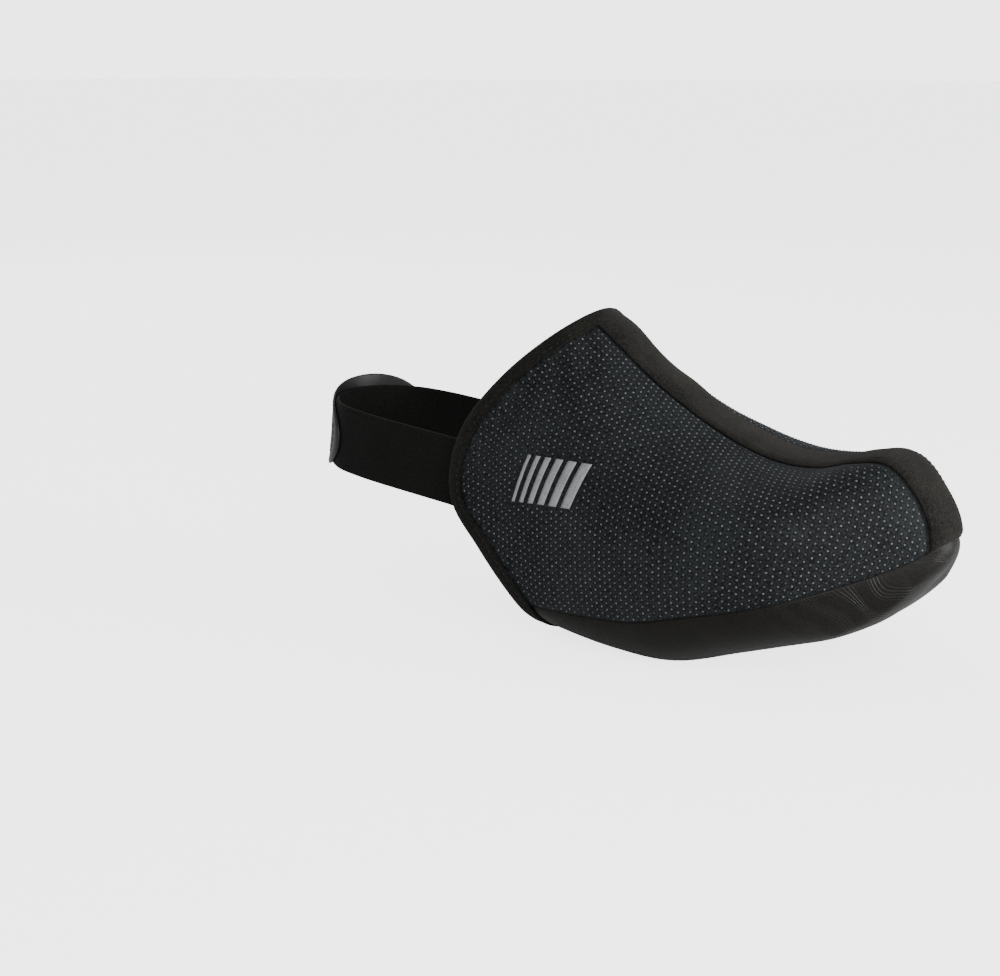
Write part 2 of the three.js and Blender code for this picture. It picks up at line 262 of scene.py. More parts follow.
def folded(points):
    """How far the folds lift the cloth at these points. They die away at the strip and at the sole seam."""
    x, y, z = np.moveaxis(points, -1, 0)
    beside = np.maximum(np.abs(y - lane_of(x)) - strip_width / 2, 0)
    above = np.maximum(z - seam_height(x), 0)
    fade = (1 - np.exp(-(beside / fold_fade) ** 2)) * (1 - np.exp(-(above / fold_fade) ** 2))
    lift = np.zeros(points.shape[:-1])
    place = points[..., [0, 2]]
    for fold in folds:
        start = np.array((fold["x_from"] * last_length, fold["z_from"] * instep_height))
        run = np.array((fold["x_to"] * last_length, fold["z_to"] * instep_height)) - start
        share = np.clip((place - start) @ run / (run @ run), 0, 1)
        distance = np.linalg.norm(place - start - share[..., None] * run, axis=-1)
        this_side = np.sign(y - lane_of(x)) == fold["side"]
        lift += this_side * fold["rise"] * np.exp(-(distance / fold["reach"]) ** 2)
    return lift * fade


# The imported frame: the strip ends at the toe tip, and the patch behind the heel is centred on the last
strip_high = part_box("center_strip")[1]
patch_low, patch_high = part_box("heel_patch")
frame_shift = np.array((strip_high.x * 1000 - last_length, (patch_low.y + patch_high.y) * 500, 0))
weld_distance = 2e-5


def to_frame(points):
    return (np.asarray(points) + frame_shift) / 1000


def lengths_from_middle(points, axis):
    """Millimetres along a grid's lines, counted from its middle one."""
    steps = np.linalg.norm(np.diff(points, axis=axis), axis=-1)
    start = np.zeros_like(np.take(steps, [0], axis=axis))
    total = np.concatenate((start, np.cumsum(steps, axis=axis)), axis=axis)
    return total - np.take(total, [points.shape[axis] // 2], axis=axis)


def cloth_grid(name, points, turned=False):
    """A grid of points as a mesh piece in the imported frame, with its own lengths as the UV map flat.
    Rows or columns that meet are merged, so that a grid may close to a tube or to a point."""
    rows, columns = points.shape[:2]
    flat = np.stack((lengths_from_middle(points, 1), lengths_from_middle(points, 0)), -1).reshape(-1, 2)
    bm = bmesh.new()
    uv = bm.loops.layers.uv.new("flat")
    bmesh.ops.create_grid(bm, x_segments=columns - 1, y_segments=rows - 1, size=1)
    for vert, place in zip(bm.verts, to_frame(points).reshape(-1, 3)):
        vert.co = place
    for face in bm.faces:
        for loop in face.loops:
            loop[uv].uv = flat[loop.vert.index]
    bmesh.ops.remove_doubles(bm, verts=bm.verts, dist=weld_distance)
    bmesh.ops.dissolve_degenerate(bm, edges=bm.edges, dist=weld_distance / 10)
    if turned:
        bmesh.ops.reverse_faces(bm, faces=bm.faces)
    return mesh_piece(name, bm)


def mesh_piece(name, bm):
    mesh = bpy.data.meshes.new(name)
    bm.to_mesh(mesh)
    bm.free()
    mesh.shade_smooth()
    piece = bpy.data.objects.new(name, mesh)
    bpy.context.scene.collection.objects.link(piece)
    return piece


def wall(piece, thickness, inner=0):
    """Gives a sheet its thickness inwards. inner is the material slot of its back."""
    solidify = piece.modifiers.new("wall", "SOLIDIFY")
    solidify.thickness = thickness / 1000
    solidify.offset = -1
    solidify.use_even_offset = True
    solidify.material_offset = inner
    solidify.material_offset_rim = inner
    return solidify


def dress(piece, slot, *materials):
    for material in materials:
        piece.data.materials.append(material)
    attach(piece, "root")


groove_depth = 0.75
groove_reach = 1.5
toe_groove = 0.6
sole_groove_depth = 0.45
panel_rows = 56
panel_columns = 150


def panel_points(side):
    """The outer face of a side panel, from the sole seam up to the strip and from the collar to the toe."""
    reach = strip_width / 2 + seam_half_gap
    across = eased(panel_rows, 0.8)[:, None]

    def angle_at(station):
        low = seam_angle(station, side, seam_half_gap)
        return low + across * (lane_angle(station, side * reach) - low)

    def inside_lane(station):
        seam_point = on_last(station, seam_angle(station, side, seam_half_gap))
        return reach - side * (seam_point[..., 1] - lane_of(seam_point[..., 0]))

    front = root(inside_lane, np.array(0.3), np.array(station_tip))
    rear = collar_station(angle_at, fold_allowance, across.shape)
    station = rear + (front - rear) * closing_up(panel_columns)
    angle = angle_at(station)
    plain = on_last(station, angle)
    to_strip = np.abs(plain[..., 1] - lane_of(plain[..., 0])) - reach
    to_sole = plain[..., 2] - seam_height(plain[..., 0])
    toeward = np.clip((plain[..., 0] - cap_start) / toe_cap_length, 0, 1)
    groove = ((groove_depth + toe_groove * toeward) * np.exp(-(to_strip / groove_reach) ** 2)
              + sole_groove_depth * np.exp(-(to_sole / groove_reach) ** 2))
    return off_last(station, angle, folded(plain) - groove)


lateral_panel = cloth_grid("lateral_panel", panel_points(-1))
medial_panel = cloth_grid("medial_panel", panel_points(1), turned=True)
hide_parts("upper")


def flatten(piece):
    """Lays a panel out flat, in millimetres, as the UV map that its weave and dots follow."""
    bpy.context.view_layer.objects.active = piece
    bpy.ops.object.mode_set(mode="EDIT")
    bpy.ops.mesh.select_all(action="SELECT")
    bpy.ops.uv.unwrap(method="MINIMUM_STRETCH", margin=0)
    bpy.ops.object.mode_set(mode="OBJECT")
    mesh = piece.data
    layer = mesh.uv_layers["flat"]
    uv = np.array([entry.vector for entry in layer.uv])
    corner = [loop.vertex_index for loop in mesh.loops]
    place = np.array([vert.co for vert in mesh.vertices])[corner] * 1000 - frame_shift
    side_view = place[:, [0, 2]]
    centred = uv - uv.mean(0)
    seen = side_view - side_view.mean(0)
    left, _, right = np.linalg.svd(centred.T @ seen)
    triangles = [tuple(t.loops) for t in mesh.calc_loop_triangles() or mesh.loop_triangles]
    a, b, c = np.array(triangles).T
    solid = np.linalg.norm(np.cross(place[b] - place[a], place[c] - place[a]), axis=-1).sum()
    edge_one, edge_two = uv[b] - uv[a], uv[c] - uv[a]
    laid = np.abs(edge_one[:, 0] * edge_two[:, 1] - edge_one[:, 1] * edge_two[:, 0]).sum()
    flat = centred @ left @ right * math.sqrt(solid / laid) + side_view.mean(0)
    for entry, new in zip(layer.uv, flat):
        entry.vector = new


for panel in (lateral_panel, medial_panel):
    flatten(panel)


def cloth_map(piece):
    """A function from flat millimetres to the point on a piece's cloth and its normal there."""
    mesh = piece.data
    mesh.calc_loop_triangles()
    layer = mesh.uv_layers["flat"].uv
    corners = [triangle.loops for triangle in mesh.loop_triangles]
    flat = [[layer[k].vector.to_3d() for k in loops] for loops in corners]
    tree = BVHTree.FromPolygons([p for face in flat for p in face],
                                [(k, k + 1, k + 2) for k in range(0, 3 * len(flat), 3)])
    verts = [[mesh.vertices[mesh.loops[k].vertex_index] for k in loops] for loops in corners]

    def place(u, v):
        hit, _, face, _ = tree.find_nearest(Vector((u, v, 0)), 0.05)
        if hit is None:
            return None
        target = [vert.co for vert in verts[face]]
        facing = [vert.normal for vert in verts[face]]
        point = barycentric_transform(hit, *flat[face], *target)
        return point, barycentric_transform(hit, *flat[face], *facing).normalized()

    return place


def node(tree, kind, *values, **settings):
    """A shader node and its first output. Its inputs take the values in order, or another node's output."""
    made = tree.nodes.new("ShaderNode" + kind)
    for name, value in settings.items():
        setattr(made, name, value)
    for socket, value in zip([socket for socket in made.inputs if socket.enabled], values):
        if isinstance(value, bpy.types.NodeSocket):
            tree.links.new(value, socket)
        elif value is not None:
            socket.default_value = value
    return next(socket for socket in made.outputs if socket.enabled)


def effect(name, inputs, outputs):
    """An empty node group, with the sockets that its inside reads and fills."""
    tree = bpy.data.node_groups.new(name, "ShaderNodeTree")
    for label, kind in inputs:
        tree.interface.new_socket(label, in_out="INPUT", socket_type="NodeSocket" + kind)
    for label, kind in outputs:
        tree.interface.new_socket(label, in_out="OUTPUT", socket_type="NodeSocket" + kind)
    return tree, tree.nodes.new("NodeGroupInput").outputs, tree.nodes.new("NodeGroupOutput").inputs


def own_place(tree):
    return tree.nodes.new("ShaderNodeTexCoord").outputs["Object"]


def tone_effect():
    """Cloth that is never one even colour: a broad cloud and a fine grain between two shades."""
    tree, given, result = effect("cloth tone", (("Dark", "Color"), ("Light", "Color"), ("Cloud mm", "Float"),
                                                ("Grain mm", "Float")), (("Color", "Color"),))
    place = own_place(tree)
    broad, fine = (node(tree, "TexNoise", place, node(tree, "Math", 1000.0, given[label], operation="DIVIDE"),
                        2.0, 0.6) for label in ("Cloud mm", "Grain mm"))
    fine_part = node(tree, "Math", fine, 3.0, operation="MULTIPLY")
    both = node(tree, "Math", broad, fine_part, operation="ADD")
    share = node(tree, "MapRange", both, 1.65, 2.35, 0.0, 1.0)
    tree.links.new(node(tree, "Mix", share, given["Dark"], given["Light"], data_type="RGBA"), result["Color"])
    return tree


def toned(tree, dark, light, cloud, grain):
    return node(tree, "Group", (*dark, 1), (*light, 1), cloud, grain, node_tree=cloth_tone)


def shade(tree, surface, *tone):
    tree.links.new(toned(tree, *tone), surface["Base Color"])


def yarn_effect():
    """Rows of yarn that follow the UV map flat: the height over the cloth, from 0 to 1."""
    tree, given, result = effect("yarn", (("Row mm", "Float"), ("Stitch mm", "Float"), ("Waver mm", "Float")),
                                 (("Height", "Float"),))
    flat = node(tree, "UVMap", uv_map="flat")
    waver = node(tree, "TexNoise", flat, 0.25, 2.0, 0.5)
    moved = node(tree, "Math", waver, given["Waver mm"], operation="MULTIPLY")
    parts = node(tree, "SeparateXYZ", flat).node.outputs
    row = node(tree, "Math", node(tree, "Math", parts["Y"], moved, operation="ADD"), given["Row mm"],
               operation="DIVIDE")
    half_turn = node(tree, "Math", node(tree, "Math", row, operation="FLOOR"), 0.5, operation="MULTIPLY")
    stitch = node(tree, "Math", node(tree, "Math", parts["X"], given["Stitch mm"], operation="DIVIDE"),
                  half_turn, operation="ADD")
    waves = [node(tree, "Math", node(tree, "Math", share, 2 * math.pi, operation="MULTIPLY"),
                  operation="COSINE") for share in (row, stitch)]
    rounded = [node(tree, "MapRange", wave, -1.0, 1.0, low, 1.0) for wave, low in zip(waves, (0.0, 0.35))]
    tree.links.new(node(tree, "Math", *rounded, operation="MULTIPLY"), result["Height"])
    return tree


cloth_tone = tone_effect()
yarn = yarn_effect()


def finish_of(name, colour, roughness, **constants):
    """A material with its even values set on its shader. Names with _ are the shader's own, with spaces."""
    material = bpy.data.materials.new(name)
    material.use_nodes = True
    shader = material.node_tree.nodes["Principled BSDF"]
    shader.inputs["Base Color"].default_value = (*colour, 1)
    shader.inputs["Roughness"].default_value = roughness
    for label, value in constants.items():
        shader.inputs[label.replace("_", " ")].default_value = value
    return material, material.node_tree, shader.inputs


def relief(tree, surface, height, depth_mm, under=None):
    """A bump of a depth in millimetres, over another bump if there is one."""
    bump = tree.nodes.new("ShaderNodeBump")
    bump.inputs["Distance"].default_value = depth_mm / 1000
    tree.links.new(height, bump.inputs["Height"])
    if under:
        tree.links.new(under, bump.inputs["Normal"])
    tree.links.new(bump.outputs["Normal"], surface["Normal"])
    return bump.outputs["Normal"]


# The laminate is blue-black. Each raised dot of its print stands in a darker ring, a painted shadow set off
# downwards and towards the toe.
dot_pitch = 2.75
dot_lines = [Vector((2.58, 1.69, 0)), Vector((0.10, 2.71, 0))]
# How far the painted shadow of each dot is set off from the dot's middle
dot_shadow_offset = Vector((0.15, -0.2, 0))


def laminate_finish():
    material, tree, surface = finish_of("windproof laminate", (0.007, 0.0085, 0.0105), 0.6,
                                        Specular_IOR_Level=0.1, Sheen_Weight=0.015, Sheen_Roughness=0.35,
                                        Sheen_Tint=(0.55, 0.75, 1.0, 1.0))
    flat = node(tree, "VectorMath", node(tree, "UVMap", uv_map="flat"), dot_shadow_offset, operation="SUBTRACT")
    one, two = dot_lines
    turn = one.cross(two).z
    across = (Vector((two.y, -two.x, 0)) / turn, Vector((-one.y, one.x, 0)) / turn)
    shares = [node(tree, "VectorMath", flat, line, operation="DOT_PRODUCT") for line in across]
    rests = [node(tree, "Math", share, node(tree, "Math", share, operation="ROUND"), operation="SUBTRACT")
             for share in shares]
    steps = []
    for rest, line in zip(rests, dot_lines):
        step = node(tree, "VectorMath", operation="SCALE").node
        step.inputs[0].default_value = line
        tree.links.new(rest, step.inputs["Scale"])
        steps.append(step.outputs[0])
    from_dot = node(tree, "VectorMath", node(tree, "VectorMath", *steps, operation="ADD"), operation="LENGTH")
    # Painted shadow: the cloth is darkened in a ring round each dot, off to one side
    painted_dot_shadow = node(tree, "MapRange", from_dot, 0.55, 1.0, 0.6, 0.0)
    tone = toned(tree, (0.0026, 0.0031, 0.0033), (0.0176, 0.0204, 0.0216), 40.0, 0.8)
    tree.links.new(node(tree, "Mix", painted_dot_shadow, tone, (0.0018, 0.0021, 0.0026, 1), data_type="RGBA"),
                   surface["Base Color"])
    weave = node(tree, "Group", 0.55, 0.55, 0.2, node_tree=yarn)
    relief(tree, surface, weave, 0.06)
    return material


laminate = laminate_finish()
for panel in (lateral_panel, medial_panel):
    wall(panel, panel_wall)
    dress(panel, "laminate", laminate)


# Side mark: slanted bars of silver-grey reflective film, pressed on the outer panel below the collar. Each is
# cut from thin film and follows the cloth.
mark_middle = (136.8, 62.2)
mark_lean = 0.42
mark_height = 19.0
mark_bars = ((-15.5, 1.6), (-11.2, 2.2), (-6.3, 2.8), (-0.8, 3.4), (5.2, 4.0), (11.8, 4.6))
film_thickness = 0.12
outer_cloth = cloth_map(lateral_panel)


def in_mark(u, v, margin):
    """Whether a flat place is on a bar of the mark, or within a margin of one."""
    up = v - mark_middle[1]
    along_mark = u - mark_middle[0] - mark_lean * up
    return abs(up) < mark_height / 2 + margin and any(
        abs(along_mark - middle) < width / 2 + margin for middle, width in mark_bars)


def mark_film():
    bm = bmesh.new()
    bm.loops.layers.uv.new("flat")
    for middle, width in mark_bars:
        made = bmesh.ops.create_grid(bm, x_segments=3, y_segments=12, size=0.5)
        for vert in made["verts"]:
            up = vert.co.y * mark_height
            u = mark_middle[0] + middle + vert.co.x * width + mark_lean * up
            point, normal = outer_cloth(u, mark_middle[1] + up)
            vert.co = point + normal * film_thickness / 1000
    return mesh_piece("side_mark", bm)


def film_finish():
    material, tree, surface = finish_of("reflective film", (0.16, 0.165, 0.17), 0.45, Metallic=0.2)
    shade(tree, surface, (0.17, 0.175, 0.18), (0.28, 0.285, 0.29), 9.0, 0.5)
    relief(tree, surface, node(tree, "TexNoise", own_place(tree), 2600.0, 2.0, 0.6), 0.03)
    return material


side_mark = mark_film()
wall(side_mark, film_thickness + 0.05)
dress(side_mark, "reflective", film_finish())


# Raised dots: small domes of clear grey silicone, printed on the laminate in an even lattice that stops short
# of the seams, the binding and the side mark.
dot_radius = 0.49
dot_top_radius = 0.3
dot_rise = 0.2
dot_sunk = 0.05
dot_sides = 8
clear_of_collar = 7.3
clear_of_strip = 1.2
# In the hollow behind the toe the dots shrink towards the strip, and the least of them are left out
hollow_fade = 16.0
hollow_middle = 238.0
hollow_reach = 20.0
least_dot = 0.45
clear_of_sole = 0.9
clear_of_mark = 0.8


def repeated(name, shape, places):
    """One piece made of a small shape's copies, each set by a matrix."""
    verts = np.array([(*vert.co, 1) for vert in shape.verts])
    faces = np.array([[vert.index for vert in face.verts] + [-1] * (dot_sides - len(face.verts))
                      for face in shape.faces])
    shape.free()
    placed = np.einsum("pij,vj->pvi", np.array(places), verts)[..., :3].reshape(-1, 3)
    mesh = bpy.data.meshes.new(name)
    mesh.from_pydata(placed, [], [[int(k) + copy * len(verts) for k in face if k >= 0]
                                  for copy in range(len(places)) for face in faces])
    mesh.shade_smooth()
    piece = bpy.data.objects.new(name, mesh)
    bpy.context.scene.collection.objects.link(piece)
    return piece


def dots_on(panel, name, bare=None):
    """The dots of one panel. bare says which flat places carry none."""
    place = cloth_map(panel)
    flat = np.array([entry.vector for entry in panel.data.uv_layers["flat"].uv])
    reach = int(np.ptp(flat, axis=0).max() / dot_pitch)
    start = Vector(flat.mean(0)).to_3d()
    places = []
    for i in range(-reach, reach + 1):
        for j in range(-reach, reach + 1):
            spot = dot_lines[0] * (i + round(start.x / dot_pitch)) + dot_lines[1] * j
            hit = place(spot.x, spot.y)
            if hit is None or bare and bare(spot.x, spot.y, dot_radius + clear_of_mark):
                continue
            point, normal = hit
            on_cover = np.array(point) * 1000 - frame_shift
            x, y, z = on_cover
            from_strip = abs(y - lane_of(x)) - strip_width / 2 - clear_of_strip
            fade = 0.1 + hollow_fade * math.exp(-((x - hollow_middle) / hollow_reach) ** 2)
            size = min(1.0, from_strip / fade)
            if (ahead_of_collar(on_cover) < clear_of_collar or z - seam_height(x) < clear_of_sole
                    or size < least_dot):
                continue
            middle = point + normal * (dot_rise - dot_sunk) / 2000
            turn = normal.to_track_quat("Z", "Y").to_matrix().to_4x4()
            places.append(Matrix.Translation(middle) @ turn @ Matrix.Diagonal((size, size, 1, 1)))
    dot = bmesh.new()
    bmesh.ops.create_cone(dot, cap_ends=True, segments=dot_sides, radius1=dot_radius / 1000,
                          radius2=dot_top_radius / 1000, depth=(dot_rise + dot_sunk) / 1000)
    return repeated(name, dot, places)


def silicone_finish():
    material, tree, surface = finish_of("silicone dots", (0.06, 0.065, 0.068), 0.4,
                                        Specular_IOR_Level=0.5)
    shade(tree, surface, (0.020, 0.022, 0.0235), (0.100, 0.108, 0.112), 6.0, 2.0)
    return material


silicone = silicone_finish()
for dots in (dots_on(lateral_panel, "lateral_dots", in_mark), dots_on(medial_panel, "medial_dots")):
    dress(dots, "laminate", silicone)


# Centre strip: plain stretch knit, cut straight and sewn between the side panels from the throat over the
# instep and round the toe down to the sole. It stands a little proud, and wrinkles across near the throat.
strip_wall = 0.8
strip_crown = 0.35
strip_edge_drop = 0.75
strip_edge_reach = 1.3
# From this station on, where the strip turns down, its lines are followed by height and not by length
strip_turn_station = 0.8
strip_rows = 28
strip_columns = 230
# Wrinkles across the strip: the place as a share of the length, the rise and the half width
strip_wrinkles = ((0.505, 1.1, 6.5), (0.550, -0.9, 7.0), (0.600, 1.0, 7.0), (0.655, -0.5, 9.0),
                  (0.800, 0.5, 9.0))


def front_station(offset, z):
    """The station at which a line of the strip has a height, where it goes down round the toe."""
    def outside(station):
        s = section(station)
        from_middle = lane_of(s["x"]) + offset - s["middle"]
        across = np.abs(from_middle) / np.where(from_middle < 0, s["lateral"], s["medial"])
        over = z > s["waist"]
        up = np.abs(z - s["waist"]) / np.where(over, s["above"], s["below"])
        power = np.where(over, s["top"], s["base"])
        return across ** power + up ** power - 1

    shape = np.broadcast(offset, z).shape
    return root(outside, np.full(shape, 0.7), np.full(shape, station_tip))


def strip_points():
    """The strip's outer face: lines side by side that keep their distance, cut to equal steps."""
    half = strip_width / 2 - 0.02
    offset = np.linspace(-half, half, strip_rows + 1)[:, None]
    rear = collar_station(lambda station: lane_angle(station, offset), fold_allowance, offset.shape)
    over = rear + (strip_turn_station - rear) * np.linspace(0, 1, 200)
    over_angle = lane_angle(over, offset)
    top = on_last(over[:, -1:], over_angle[:, -1:])[..., 2]

    def above_seam(z):
        return z - seam_height(x_at(front_station(offset, z))) - seam_half_gap

    bottom = root(above_seam, np.full(offset.shape, 35.0), top)
    down_z = top + (bottom - top) * np.linspace(0, 1, 120)[1:]
    down = front_station(offset, down_z)
    s = section(down)
    from_middle = lane_of(s["x"]) + offset - s["middle"]
    width = np.where(from_middle < 0, s["lateral"], s["medial"])
    height = np.where(down_z > s["waist"], s["above"], s["below"])
    down_angle = np.arctan2((down_z - s["waist"]) / height, -from_middle / width)
    station = np.concatenate((over, down), 1)
    angle = np.concatenate((over_angle, down_angle), 1)
    steps = np.linalg.norm(np.diff(on_last(station, angle), axis=1), axis=-1)
    total = np.concatenate((np.zeros_like(offset), np.cumsum(steps, axis=1)), 1)
    share = np.linspace(0, 1, strip_columns + 1)
    station = np.array([np.interp(share, t / t[-1], row) for t, row in zip(total, station)])
    angle = np.array([np.interp(share, t / t[-1], row) for t, row in zip(total, angle)])
    plain = on_last(station, angle)
    to_edge = half - np.abs(offset)
    to_sole = (1 - share) * total[:, -1:]
    lift = strip_crown * (1 - (offset / half) ** 2)
    for to_seam in (to_edge, to_sole):
        lift = lift - strip_edge_drop * np.exp(-(to_seam / strip_edge_reach) ** 2)
    for at, rise, reach in strip_wrinkles:
        lift = lift + rise * np.exp(-((plain[..., 0] - at * last_length) / reach) ** 2) * (
            1 - np.exp(-((to_edge + 1) / 4) ** 2))
    return off_last(station, angle, lift)


def knit_finish(name, dark, light, row, stitch, depth):
    material, tree, surface = finish_of(name, dark, 0.9, Specular_IOR_Level=0.12, Sheen_Weight=0.03,
                                        Sheen_Roughness=0.5, Sheen_Tint=(1.0, 0.95, 0.88, 1.0))
    shade(tree, surface, dark, light, 12.0, 0.75)
    rough = relief(tree, surface, node(tree, "TexNoise", own_place(tree), 900.0, 3.0, 0.65), 0.25)
    relief(tree, surface, node(tree, "Group", row, stitch, 0.5, node_tree=yarn), depth, rough)
    return material


center_strip = cloth_grid("center_strip_knit", strip_points(), turned=True)
wall(center_strip, strip_wall)
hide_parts("center_strip")
dress(center_strip, "knit", knit_finish("stretch knit", (0.0042, 0.0041, 0.0035), (0.0155, 0.0152, 0.0131),
                                        0.9, 0.7, 0.12))


# Sole: hard-wearing cloth with a rubber coating, which rises as a rand to the sole seam. A rounded opening
# under the ball leaves the cleat free. Contour lines are embossed in the coating, closest at the toe.
sole_wall = 3.0
sole_rows = 84
sole_columns = 130
toe_columns = 12
cleat_length = 56.0
cleat_width = 44.0
cleat_corner = 12.0
cleat_back = 158.0
# Under the toe the cloth is gathered: ridges between two points on the last, with their rise and their reach
crease_softness = 1.2
toe_ridges = (
    ((281.0, -7.0, 49.0), (273.5, -14.0, 37.5), 2.3, 8.0),
    ((273.5, -14.0, 37.5), (266.4, -18.4, 28.7), 2.9, 9.0),
    ((266.4, -18.4, 28.7), (253.0, -25.0, 20.5), 2.4, 9.0),
    ((277.0, 12.0, 38.0), (264.0, 20.0, 29.0), 1.6, 8.0),
)


def seam_end(lift):
    """The station at which the seam, moved up by a lift, comes up to the crest at the front of the toe."""
    def over_crest(station):
        s = section(station)
        return seam_height(s["x"]) + lift - s["waist"] - s["above"]

    return root(over_crest, np.array(0.7), np.array(station_tip))


def seam_to_seam(across, lift, turn=0.0):
    """The angle of lines that share out a section from its outer seam to its inner one, less a turn."""
    def angle_at(station):
        low = seam_angle(station, -1, lift)
        return low + across * (seam_angle(station, 1, lift) - turn - low)

    return angle_at


def sole_points():
    """The sole's outer face: lines that go round underneath, and close up at the tip of the toe."""
    across = eased(sole_rows, 0.4)[:, None]
    angle_at = seam_to_seam(across, -seam_half_gap, 2 * math.pi)
    rear = collar_station(angle_at, fold_allowance, across.shape)
    end = seam_end(-seam_half_gap)
    tip = np.tile(np.linspace(end, station_tip, toe_columns + 1)[1:], (sole_rows + 1, 1))
    station = np.hstack((rear + (end - rear) * closing_up(sole_columns), tip))
    angle = angle_at(station)
    plain = on_last(station, angle)
    to_seam = seam_height(plain[..., 0]) - plain[..., 2]
    lift = -sole_groove_depth * np.exp(-(to_seam / groove_reach) ** 2)
    gather = np.zeros_like(lift)
    for start, end, rise, reach in toe_ridges:
        run = np.array(end) - start
        share = np.clip((plain - start) @ run / (run @ run), 0, 1)
        distance = np.linalg.norm(plain - start - share[..., None] * run, axis=-1)
        away = np.hypot(distance, crease_softness) - crease_softness
        gather = np.maximum(gather, rise * np.exp(-away / reach))
    return off_last(station, angle, lift + gather * (1 - np.exp(-(to_seam / 5) ** 2)))


def fleece_finish():
    material, tree, surface = finish_of("brushed fleece", (0.014, 0.014, 0.016), 1.0, Specular_IOR_Level=0.1,
                                        Sheen_Weight=0.04, Sheen_Roughness=0.6)
    shade(tree, surface, (0.006, 0.006, 0.0066), (0.020, 0.020, 0.022), 8.0, 1.2)
    relief(tree, surface, node(tree, "TexNoise", own_place(tree), 700.0, 4.0, 0.7), 0.9)
    return material


# The embossed lines, in metres but for their middle: shells round a point at the toe, in bands of a few lines
contour_middle = (286.0, -4.0, 55.0)
contour_squash = Vector((1.0, 0.6, 1.3))
contour_pitch = 0.0014
contour_band = 0.0126
contour_waver = 0.035
contour_fade = (0.042, 0.075)


def coating_finish():
    material, tree, surface = finish_of("rubber coating", (0.012, 0.0115, 0.0105), 0.5,
                                        Specular_IOR_Level=0.14)
    place = own_place(tree)
    toe = Vector(to_frame(contour_middle))
    warp = node(tree, "TexNoise", place, 32.0, 1.0, 0.3)
    near = node(tree, "VectorMath", place, toe, operation="SUBTRACT")
    squashed = node(tree, "VectorMath", near, contour_squash, operation="MULTIPLY")
    distance = node(tree, "VectorMath", squashed, operation="LENGTH")
    bent = node(tree, "Math", warp, contour_waver, operation="MULTIPLY")
    warped = node(tree, "Math", bent, distance, operation="ADD")
    rings, bands = (node(tree, "Math", node(tree, "Math", warped, 2 * math.pi / pitch, operation="MULTIPLY"),
                         operation="SINE") for pitch in (contour_pitch, contour_band))
    line = node(tree, "MapRange", rings, -0.2, 0.9, 0.0, 1.0)
    band = node(tree, "MapRange", bands, -0.5, 0.7, 0.15, 1.0)
    fade = node(tree, "MapRange", distance, *contour_fade, 1.0, 0.0)
    banded = node(tree, "Math", line, band, operation="MULTIPLY")
    contour = node(tree, "Math", banded, fade, operation="MULTIPLY")
    tone = toned(tree, (0.0022, 0.0020, 0.0015), (0.0070, 0.0065, 0.0052), 25.0, 0.6)
    tree.links.new(node(tree, "Mix", contour, tone, (0.0130, 0.0125, 0.0112, 1), data_type="RGBA"),
                   surface["Base Color"])
    tree.links.new(node(tree, "MapRange", contour, 0.0, 1.0, 0.46, 0.34), surface["Roughness"])
    grain = relief(tree, surface, node(tree, "TexNoise", place, 1400.0, 2.0, 0.6), 0.06)
    relief(tree, surface, contour, 0.12, grain)
    return material


def cleat_cutter():
    """A rounded block that stands through the bottom where the cleat comes through."""
    bm = bmesh.new()
    middle = Vector(to_frame((cleat_back + cleat_length / 2, 0, 0)))
    size = Matrix.Diagonal((cleat_length / 1000, cleat_width / 1000, 0.04, 1))
    bmesh.ops.create_cube(bm, size=1, matrix=Matrix.Translation(middle) @ size)
    upright = [edge for edge in bm.edges if abs(edge.verts[0].co.z - edge.verts[1].co.z) > 0.01]
    bmesh.ops.bevel(bm, geom=upright, offset=cleat_corner / 1000, offset_type="OFFSET", affect="EDGES",
                    segments=10, profile=0.5, material=-1)
    return mesh_piece("cleat_cutter", bm)


def applied(piece):
    """Bakes a piece's modifiers into its mesh."""
    shape = bpy.data.meshes.new_from_object(piece.evaluated_get(bpy.context.evaluated_depsgraph_get()))
    piece.modifiers.clear()
    piece.data = shape


sole = cloth_grid("coated_sole", sole_points(), turned=True)
fleece = fleece_finish()
dress(sole, "rubberised", coating_finish(), fleece)
wall(sole, sole_wall, inner=1)
cutter = cleat_cutter()
opening = sole.modifiers.new("opening", "BOOLEAN")
opening.object = cutter
opening.operation = "DIFFERENCE"
opening.solver = "EXACT"
applied(sole)
bpy.data.objects.remove(cutter)
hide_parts("sole")


# Lining: black brushed fleece, laid inside both panels and the strip and caught in the same seams.
lining_depth = 1.8
lining_wall = 0.7
lining_turn_in = 2.0
lining_rows = 90
lining_columns = 100


def lining_points():
    """The lining's outer face, from seam to seam over the top, with its edges turned in behind the sole."""
    across = np.linspace(0, 1, lining_rows + 1)[:, None]
    angle_at = seam_to_seam(across, -lining_turn_in)
    rear = collar_station(angle_at, fold_allowance, across.shape)
    station = rear + (seam_end(-lining_turn_in) - rear) * closing_up(lining_columns)
    angle = angle_at(station)
    return off_last(station, angle, folded(on_last(station, angle)) - lining_depth)


lining = cloth_grid("fleece_lining", lining_points(), turned=True)
wall(lining, lining_wall)
dress(lining, "lining", fleece)


# Collar binding: a knit tape folded over the whole rear edge and sewn through near its front edges, all round
# the opening. Its cut edges are turned under, so it shows a fold, a line of stitches and a rounded back.
binding_steps = 300
